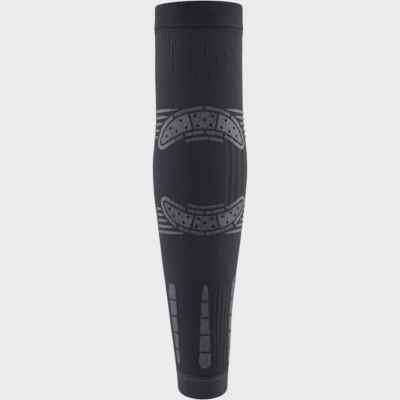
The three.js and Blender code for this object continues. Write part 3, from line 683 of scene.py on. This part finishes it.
def band_material(name, dark, light):
    """Plain knit with soft bands round it, 3 mm apart, painted shade at the lip's edge and at the fold, a
    painted highlight on the roll and the welt, and the stitches' relief painted in as light.
    """
    material, tree, output = new_material(name)
    relief, turns, height_along = stitch_height(tree, CUFF_WALES, CUFF_COURSE)
    uv = add(tree, "ShaderNodeUVMap", uv_map="wales")
    band_map = add(tree, "ShaderNodeMapping", {0: uv.outputs[0], "Scale": (60, 320, 1)})
    bands = add(
        tree, "ShaderNodeTexNoise", {"Vector": band_map.outputs[0], "Scale": 1.0, "Detail": 2.0},
        noise_dimensions="2D",
    )
    place = add(tree, "ShaderNodeTexCoord")
    clouds = add(
        tree, "ShaderNodeTexNoise", {"Vector": place.outputs["Object"], "Scale": 60.0, "Detail": 1.0},
    )
    tone = add(tree, "ShaderNodeMath", {0: clouds.outputs[0], 1: 0.5, 2: -0.1}, operation="MULTIPLY_ADD")
    painted_shade_and_highlight = add(tree, "ShaderNodeAttribute", attribute_name="painted_shade_and_highlight")
    for pattern, share in ((bands.outputs[0], 0.5), (relief, 0.25), (painted_shade_and_highlight.outputs["Fac"], -1.0)):
        tone = add(
            tree, "ShaderNodeMath", {0: pattern, 1: share, 2: tone.outputs[0]}, operation="MULTIPLY_ADD",
        )
    yarn = add(
        tree, "ShaderNodeMix", {"Factor": tone.outputs[0], 6: linear(dark), 7: linear(light)},
        data_type="RGBA", clamp_factor=False,
    )
    bump = add(tree, "ShaderNodeBump", {"Height": relief, "Strength": 0.4, "Distance": 0.3 * MM})
    band = add(tree, "ShaderNodeBsdfPrincipled", {
        "Base Color": yarn.outputs[2], "Normal": bump.outputs[0], "Roughness": 0.95,
        "Specular IOR Level": 0.15, "Sheen Weight": 0.5, "Sheen Roughness": 0.2,
        "Sheen Tint": linear("#a4a2aa"),
    })
    tree.links.new(band.outputs[0], output.inputs["Surface"])
    return material


upper_cuff = cuff_wall(
    "upper_hem_band", UPPER_HEM, UPPER_CUFF_HEIGHT, 1, UPPER_CUFF_OUTSIDE, UPPER_HEM_LINE, 0.6, 0.3,
)
lower_cuff = cuff_wall(
    "lower_hem_band", LOWER_HEM, LOWER_CUFF_HEIGHT, -1, LOWER_CUFF_OUTSIDE, LOWER_HEM_LINE, 0.4, 0,
)
# Black polyamide and elastane yarn; the wrist's band is stretched less, and its paler colours are partly
# painted light thrown up from below
upper_band = band_material("plain_knit_band", "#161519", "#3a393f")
lower_band = band_material("plain_knit_wrist_band", "#1d1c20", "#504f55")
for cuff, node, material in (
    (upper_cuff, "upper_cuff", upper_band), (lower_cuff, "lower_cuff", lower_band),
):
    cuff.data.materials.append(material)
    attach(cuff, "root")
    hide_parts(node)

# Crescent panels
# Grey silicone screen-printed thickly on the knit above and below the elbow: pierced pads, an outline round
# them in six lengths, a thin arc inside, and tapering stripes at both sides. It soaks into the yarn and
# stands about half a millimetre proud, with soft edges.
PRINT_SEAT = -0.12  # the underside, sunk in the yarn
PRINT_TOP = 0.5
PRINT_EDGE = 0.24  # rounding of the edges
PAD_REACH = 45.5
UPPER_PAD_TIP = 28.5
LOWER_PAD_TIP = 30.5
UPPER_PAD_TOP = 60
UPPER_PAD_WIDTH = 16.6
LOWER_PAD_TOP = 56.8
LOWER_PAD_WIDTH = 13.9
PAD_GAP = 2
HOLE_DIAMETER = 2.9
RING_GAP = 1.9
RING_WIDTH = 3.3
RING_TIP_WIDTH = 3.8
RING_BREAK = 2
STRIPE_WIDTH = 2.7
STRIPE_POINT = 1.1
STRIPE_GAP = 1.6
UPPER_ARC_GAP = 2.7
UPPER_ARC_WIDTH = 3.3
LOWER_ARC_GAP = 2.3
LOWER_ARC_WIDTH = 2.6
# Half of the pads' outline: share of the reach, and rise from the tips to that edge's height at the middle
PAD_OUTER_EDGE = [(0, 1), (0.32, 0.93), (0.52, 0.83), (0.68, 0.7), (0.82, 0.53), (0.93, 0.33), (0.99, 0.12)]
PAD_INNER_EDGE = [(0, 1), (0.26, 0.92), (0.43, 0.78), (0.62, 0.5), (0.78, 0.22), (0.89, 0.04), (0.955, -0.04)]
# Rows count the outline's points from the middle of the outer edge, round the tip to the inner edge's middle
TIP_ROW = len(PAD_OUTER_EDGE)
MIDDLE_ROW = TIP_ROW + len(PAD_INNER_EDGE)
INNER_BREAK_ROW = 2.1  # before the inner middle: the break between the hook and the bridge
PAD_GAP_ROW = 1  # where the gap between two pads meets their outer edge
PAD_GAP_FOOT_ROW = 0.9  # before the inner middle: where it meets their inner edge
PAD_TIP_SHARE = 0.96  # of the way to the tip's row: where a side pad ends
# The pads' holes: share of the reach, and rise from the tips to the outer edge's height
MIDDLE_HOLES = [(-0.19, 0.87), (0.19, 0.87), (0, 0.74), (-0.14, 0.57), (0.14, 0.57)]
LEFT_HOLES = [(-0.49, 0.73), (-0.38, 0.5), (-0.74, 0.49), (-0.59, 0.38), (-0.84, 0.23)]
RIGHT_HOLES = [(0.51, 0.73), (0.38, 0.5), (0.73, 0.49), (0.585, 0.38), (0.8, 0.24)]
STRIPE_COUNT = 5
hole_places = []

# Silicone ink, screen-printed and cured: mid grey, rubbery and half matt. The wales show through it as fine
# upright marks, 1.5 by 5 mm, and its surface is slightly pebbled where it has sunk between the stitches.
print_material, tree, output = new_material("printed_silicone")
relief, turns, height_along = stitch_height(tree, WALES, COURSE)
uv = add(tree, "ShaderNodeUVMap", uv_map="wales")
grain_map = add(tree, "ShaderNodeTexCoord")
grain = add(
    tree, "ShaderNodeTexNoise", {"Vector": grain_map.outputs["Object"], "Scale": 700.0, "Detail": 2.0},
)
line_map = add(tree, "ShaderNodeMapping", {0: uv.outputs[0], "Scale": (200, 200, 1)})
lines = add(
    tree, "ShaderNodeTexNoise", {"Vector": line_map.outputs[0], "Scale": 1.0, "Detail": 2.0},
    noise_dimensions="2D",
)
# Painted light and shade on each panel lighten and darken the ink
painted_ink_light = add(tree, "ShaderNodeAttribute", attribute_name="painted_ink_light")
grain_tone = add(
    tree, "ShaderNodeMath", {0: grain.outputs[0], 1: 1.6, 2: painted_ink_light.outputs["Fac"]}, operation="MULTIPLY_ADD",
)
line_tone = add(
    tree, "ShaderNodeMath", {0: lines.outputs[0], 1: 1.9, 2: grain_tone.outputs[0]},
    operation="MULTIPLY_ADD",
)
ink_tone = add(tree, "ShaderNodeMath", {0: line_tone.outputs[0], 1: 1.22}, operation="SUBTRACT")
ink = add(
    tree, "ShaderNodeMix", {"Factor": ink_tone.outputs[0], 6: linear("#3a3b3e"), 7: linear("#66676c")},
    data_type="RGBA", clamp_factor=False,
)
pebbles = add(tree, "ShaderNodeMath", {0: grain.outputs[0], 1: 0.5}, operation="MULTIPLY")
surface = add(
    tree, "ShaderNodeMath", {0: relief, 1: 0.5, 2: pebbles.outputs[0]}, operation="MULTIPLY_ADD",
)
bump = add(tree, "ShaderNodeBump", {"Height": surface.outputs[0], "Strength": 0.4, "Distance": 0.2 * MM})
silicone = add(tree, "ShaderNodeBsdfPrincipled", {
    "Base Color": ink.outputs[2], "Normal": bump.outputs[0], "Roughness": 0.55, "IOR": 1.45,
    "Specular IOR Level": 0.25, "Sheen Weight": 0.06, "Sheen Roughness": 0.3,
    "Sheen Tint": linear("#dcdce2"),
})
tree.links.new(silicone.outputs[0], output.inputs["Surface"])


def ink_painted_light(piece, node):
    """Painted light and shade on the ink, against the middle pad: painted highlight on the stripes, the side
    pads' inner halves and the hooks towards the flanks, and painted shade at the side pads' tips and on the
    lower crescent.
    """
    degrees = np.array([abs(math.degrees(math.atan2(v.co.x, -v.co.y))) for v in piece.data.vertices])
    if "_stripe_" in node:
        return np.full(len(degrees), 0.35)
    lower_crescent_shade = -0.1 if node.startswith("lower") else 0
    if "_pad_" in node and "middle" not in node:
        return lower_crescent_shade + 0.45 - 0.6 * ease(degrees, 30, 56)
    if "_hook_" in node:
        return lower_crescent_shade + 0.3 * ease(degrees, 30, 56)
    return np.full(len(degrees), lower_crescent_shade)


def print_piece(node, edge_in, edge_out, steps, rows, to_arm, holes=()):
    """A raised panel between two edges, each a flat point for a share of the panel's length."""
    deselect_all()
    bpy.ops.mesh.primitive_grid_add(x_subdivisions=steps, y_subdivisions=rows, size=1)
    piece = bpy.context.object
    piece.name = node + "_print"
    mesh = piece.data
    flat = np.array([vertex.co[:2] for vertex in mesh.vertices]) + 0.5
    points, turns_round, heights = [], [], []
    for along, across in flat:
        start, end = np.array(edge_in(along)), np.array(edge_out(along))
        angle, height = to_arm(*(start + (end - start) * across))
        points.append(on_arm(angle, height, PRINT_SEAT))
        turns_round.append(angle / (2 * math.pi))
        heights.append(height * MM)
    mesh.vertices.foreach_set("co", np.array(points).ravel())
    mesh.update()
    facing = sum((polygon.normal[1] * polygon.area for polygon in mesh.polygons))
    if facing > 0:
        mesh.flip_normals()
    while mesh.uv_layers:
        mesh.uv_layers.remove(mesh.uv_layers[0])
    wales = mesh.uv_layers.new(name="wales")
    for loop in mesh.loops:
        wales.data[loop.index].uv = (turns_round[loop.vertex_index], heights[loop.vertex_index])
    thickness = piece.modifiers.new("thickness", "SOLIDIFY")
    thickness.thickness = (PRINT_TOP - PRINT_SEAT) * MM
    thickness.offset = 1
    edges = piece.modifiers.new("soft_edges", "BEVEL")
    edges.width = PRINT_EDGE * MM
    edges.segments = 2
    edges.limit_method = "ANGLE"
    edges.angle_limit = math.radians(50)
    for modifier in ("thickness", "soft_edges"):
        bpy.ops.object.modifier_apply(modifier=modifier)
    for along, rise in holes:
        pierce(piece, *to_arm(along, rise))
        hole_places.append(to_arm(along, rise))
    bpy.ops.object.shade_smooth_by_angle(angle=math.radians(40))
    piece.data.materials.append(print_material)
    paint(piece, "painted_ink_light", ink_painted_light(piece, node))
    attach(piece, "root")
    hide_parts(node)
    return piece


def pierce(piece, angle, height):
    """Cuts one round hole through a panel, square to the arm."""
    inner = on_arm(angle, height, -1.0)
    outer = on_arm(angle, height, 2.0)
    bpy.ops.mesh.primitive_cylinder_add(
        vertices=20, radius=HOLE_DIAMETER / 2 * MM, depth=3 * MM, location=(inner + outer) / 2,
        rotation=(math.pi / 2, 0, angle),
    )
    drill = bpy.context.object
    bpy.context.view_layer.objects.active = piece
    cut = piece.modifiers.new("hole", "BOOLEAN")
    cut.object = drill
    cut.operation = "DIFFERENCE"
    cut.solver = "EXACT"
    bpy.ops.object.modifier_apply(modifier="hole")
    bpy.data.objects.remove(drill)


def outline_curve(points):
    """A smooth closed curve through flat points, as a function of the row: centripetal Catmull-Rom."""
    count = len(points)
    points = np.array(points, float)

    def at(row):
        row = row % count
        first = int(math.floor(row))
        a, b, c, d = (points[(first + k) % count] for k in (-1, 0, 1, 2))
        before, here, after = (max(np.hypot(*(q - p)) ** 0.5, 1e-4) for p, q in ((a, b), (b, c), (c, d)))
        leave = ((b - a) / before - (c - a) / (before + here) + (c - b) / here) * here
        arrive = ((c - b) / here - (d - b) / (here + after) + (d - c) / after) * here
        share = row - first
        return (
            b + leave * share + (-3 * b + 3 * c - 2 * leave - arrive) * share ** 2
            + (2 * b - 2 * c + leave + arrive) * share ** 3
        )

    return at


def make_crescent(name, way, turn, pad_tip, pad_top, pad_width, arc_gap, arc_width, arc_overrun, halves):
    """All the panels of one crescent. way is 1 above the elbow and -1 below it, and turn its middle in degrees
    from the front. arc_overrun is how far the arc's ends pass the breaks in the outline's inner side."""
    roll_radius = float(section_at(way * (pad_top + pad_tip) / 2)[0])
    outer_rise = pad_top - pad_tip
    inner_rise = pad_top - pad_width - pad_tip

    def to_arm(x, y):
        stretch = halves["left" if x < 0 else "right"][0]
        return math.radians(turn) + stretch * x / roll_radius, way * y

    half = [(along * PAD_REACH, pad_tip + rise * outer_rise) for along, rise in PAD_OUTER_EDGE]
    half.append((PAD_REACH, pad_tip + 0.02 * outer_rise))
    half += [(along * PAD_REACH, pad_tip + rise * inner_rise) for along, rise in reversed(PAD_INNER_EDGE)]
    other_half = [(-x, y) for x, y in reversed(half[1:-1])]
    curve = outline_curve(half + other_half)

    def beside(row, aside):
        point = curve(row)
        probe = 0.002
        along = curve(row + probe) - curve(row - probe)
        along = along / np.hypot(*along)
        return np.array([point[0] - along[1] * aside, point[1] + along[0] * aside])

    def further(row, distance):
        probe = 0.05
        speed = np.hypot(*(beside(row + probe, 0) - beside(row - probe, 0))) / (2 * probe)
        return row + distance / speed

    def outer_side(row):
        share = min(1, abs(beside(row, 0)[0]) / PAD_REACH)
        return RING_GAP + RING_WIDTH + (RING_TIP_WIDTH - RING_WIDTH) * share * share

    def middle_edge(edge_row):
        def edge(share):
            side = 2 * share - 1
            return beside(edge_row(side), 0) - [math.copysign(PAD_GAP / 2 * abs(side), side), 0]
        return edge

    print_piece(
        name + "_pad_middle",
        middle_edge(lambda side: MIDDLE_ROW + side * -PAD_GAP_FOOT_ROW),
        middle_edge(lambda side: side * PAD_GAP_ROW),
        24, 14, to_arm, [(along * PAD_REACH, pad_tip + rise * outer_rise) for along, rise in MIDDLE_HOLES],
    )
    for side, side_name, side_holes in ((1, "right", RIGHT_HOLES), (-1, "left", LEFT_HOLES)):
        _, outer_break_row, first_stripe, stripe_pitch, slope, tail = halves[side_name]
        stripe_reach = PAD_REACH + RING_GAP + RING_TIP_WIDTH + tail

        def pad_edge(start_row):
            def edge(share):
                row = start_row + (TIP_ROW - start_row) * PAD_TIP_SHARE * share
                return beside(side * row, 0) + [side * PAD_GAP / 2 * (1 - share) ** 2, 0]
            return edge

        print_piece(
            "%s_pad_%s" % (name, side_name), pad_edge(MIDDLE_ROW - PAD_GAP_FOOT_ROW), pad_edge(PAD_GAP_ROW),
            44, 12, to_arm,
            [(along * PAD_REACH, pad_tip + rise * outer_rise) for along, rise in side_holes],
        )
        lengths = [
            ("ring", 0, outer_break_row, 18),
            ("hook", outer_break_row, MIDDLE_ROW - INNER_BREAK_ROW, 64),
            ("bridge", MIDDLE_ROW - INNER_BREAK_ROW, MIDDLE_ROW, 14),
        ]
        for part, first, last, steps in lengths:
            start = further(first, RING_BREAK / 2)
            end = further(last, -RING_BREAK / 2)

            def row_at(share):
                return side * (start + (end - start) * share)

            print_piece(
                "%s_%s_%s" % (name, part, side_name),
                lambda share: beside(row_at(share), RING_GAP),
                lambda share: beside(row_at(share), outer_side(row_at(share))),
                steps, 4, to_arm,
            )

        samples = []
        for i in range(60):
            row = side * i / 60 * MIDDLE_ROW
            samples.append(beside(row, outer_side(row)))
        for stripe in range(STRIPE_COUNT):
            outer_end = pad_tip + (first_stripe - stripe_pitch * stripe) * outer_rise

            def line(x):
                return np.array([side * x, outer_end + slope * (stripe_reach - x)])

            clear = STRIPE_GAP + STRIPE_POINT / 2
            inner_end = stripe_reach
            while inner_end > 0 and min(np.hypot(*(s - line(inner_end))) for s in samples) > clear:
                inner_end -= 0.2
            length = stripe_reach - inner_end

            def half_width(share):
                swelling = math.sin(min(1, share / 0.4) * math.pi / 2)
                width = STRIPE_POINT + (STRIPE_WIDTH - STRIPE_POINT) * swelling
                from_end = min(1, (1 - share) * length / (STRIPE_WIDTH / 2))
                from_start = min(1, share * length / (STRIPE_POINT / 2))
                rounding = math.sqrt(1 - (1 - from_end) ** 2) * math.sqrt(1 - (1 - from_start) ** 2)
                return width / 2 * (0.25 + 0.75 * rounding)

            def stripe_edge(sign):
                def edge(share):
                    bent = (1 - math.cos(share * math.pi)) / 2
                    point = line(inner_end + bent * length)
                    return point + [0, sign * half_width(bent)]
                return edge

            print_piece(
                "%s_stripe_%s_%d" % (name, side_name, stripe + 1), stripe_edge(-1), stripe_edge(1),
                max(10, math.ceil(length / 1.5)), 3, to_arm,
            )

    arc_start = further(MIDDLE_ROW - INNER_BREAK_ROW, -arc_overrun)
    arc_inside = RING_GAP + RING_WIDTH + arc_gap

    def arc_row(share):
        return arc_start + 2 * (MIDDLE_ROW - arc_start) * share

    print_piece(
        name + "_arc",
        lambda share: beside(arc_row(share), arc_inside),
        lambda share: beside(arc_row(share), arc_inside + arc_width),
        30, 4, to_arm,
    )


# Each half: its spread round the arm, the row where its outline is cut, the rise of its outermost stripe, the
# stripes' pitch as a share of the pads' rise, how they climb inwards, and their length past the outline's tip
UPPER_HALVES = {
    "left": (1.068, 2.58, 0.995, 0.205, 0.055, 14.4),
    "right": (0.985, 2.58, 0.955, 0.185, 0.09, 14.4),
}
LOWER_HALVES = {
    "left": (0.962, 2.58, 1.172, 0.223, -0.02, 13.4),
    "right": (1.06, 2.85, 1.085, 0.21, 0.04, 14.4),
}
make_crescent(
    "upper", 1, -1.0, UPPER_PAD_TIP, UPPER_PAD_TOP, UPPER_PAD_WIDTH, UPPER_ARC_GAP, UPPER_ARC_WIDTH, 0.9,
    UPPER_HALVES,
)
make_crescent(
    "lower", -1, -0.7, LOWER_PAD_TIP, LOWER_PAD_TOP, LOWER_PAD_WIDTH, LOWER_ARC_GAP, LOWER_ARC_WIDTH, -0.4,
    LOWER_HALVES,
)

# The shade at the bottom of the pads' holes
hole_shade = np.zeros_like(grid_height)
for hole_angle, hole_height in hole_places:
    aside = (np.mod(grid_angle - hole_angle + math.pi, 2 * math.pi) - math.pi) * grid_width
    distance = np.hypot(aside, grid_height - hole_height)
    hole_shade = np.maximum(hole_shade, ease(distance, HOLE_DIAMETER / 2 + 0.5, HOLE_DIAMETER / 2 - 0.5))
paint(knit_tube, "hole_shade", np.concatenate([hole_shade, inner_blank]))

# Forearm strips
# The same silicone in three rows of five segments down to the wrist, which keep the sleeve from turning.
# The side strips narrow downwards and the centre strip widens, and each row has rounded ends.
STRIP_HEM_GAP = 8.6
SEGMENT_GAP = 1.6
STRIP_SHARE = 0.58  # of the free length between the lower crescent and the hem
LAST_SEGMENT_SHARE = 0.9  # of the other segments' length
SEGMENT_COUNT = 5
ROUNDED_SHARE = 0.42  # of a segment's length, at each end of a row
SIDE_STRIP_DROP = 0.8
strip_foot = LOWER_HEM + STRIP_HEM_GAP
strip_length = STRIP_SHARE * (-(LOWER_PAD_TOP + RING_GAP + RING_WIDTH) - LOWER_HEM)
strip_top = strip_foot + strip_length
# Name, angles at the top and at the foot, widths at the top and at the foot, how much lower it is printed,
# and how much further up it starts
STRIPS = [
    ("left", -58, -64, 12.8, 5.4, SIDE_STRIP_DROP, 0),
    ("centre", 1.8, -1.4, 5.2, 12.6, 0, 0),
    ("right", 64.5, 64.5, 12.8, 5.4, SIDE_STRIP_DROP, 5),
]
for strip_name, top_angle, foot_angle, top_width, foot_width, drop, extra in STRIPS:
    for segment in range(SEGMENT_COUNT):
        pitch = strip_length / (SEGMENT_COUNT - 1 + LAST_SEGMENT_SHARE)
        is_first, is_last = segment == 0, segment == SEGMENT_COUNT - 1
        segment_top = strip_top - segment * pitch + (extra if is_first else -SEGMENT_GAP / 2)
        segment_foot = strip_foot if is_last else strip_top - (segment + 1) * pitch + SEGMENT_GAP / 2

        def strip_to_arm(x, y):
            share = (strip_top - y) / strip_length
            angle = math.radians(top_angle + (foot_angle - top_angle) * share)
            return angle + x / float(section_at(y)[0]), y - drop

        def strip_half_width(height):
            share = (strip_top - height) / strip_length
            whole = (top_width + (foot_width - top_width) * share) / 2
            from_end = min(
                (strip_top + extra - height) / (ROUNDED_SHARE * pitch) if is_first else 1,
                (height - strip_foot) / (ROUNDED_SHARE * pitch) if is_last else 1,
                1,
            )
            return whole * (0.45 + 0.55 * math.sqrt(max(0, 1 - (1 - from_end) ** 2)))

        def strip_edge(sign):
            def edge(share):
                bent = share ** 1.6 if is_first else 1 - (1 - share) ** 1.6 if is_last else share
                height = segment_top + (segment_foot - segment_top) * bent
                return np.array([sign * strip_half_width(height), height])
            return edge

        print_piece(
            "strip_%s_%d" % (strip_name, segment + 1), strip_edge(-1), strip_edge(1), 14, 8, strip_to_arm,
        )
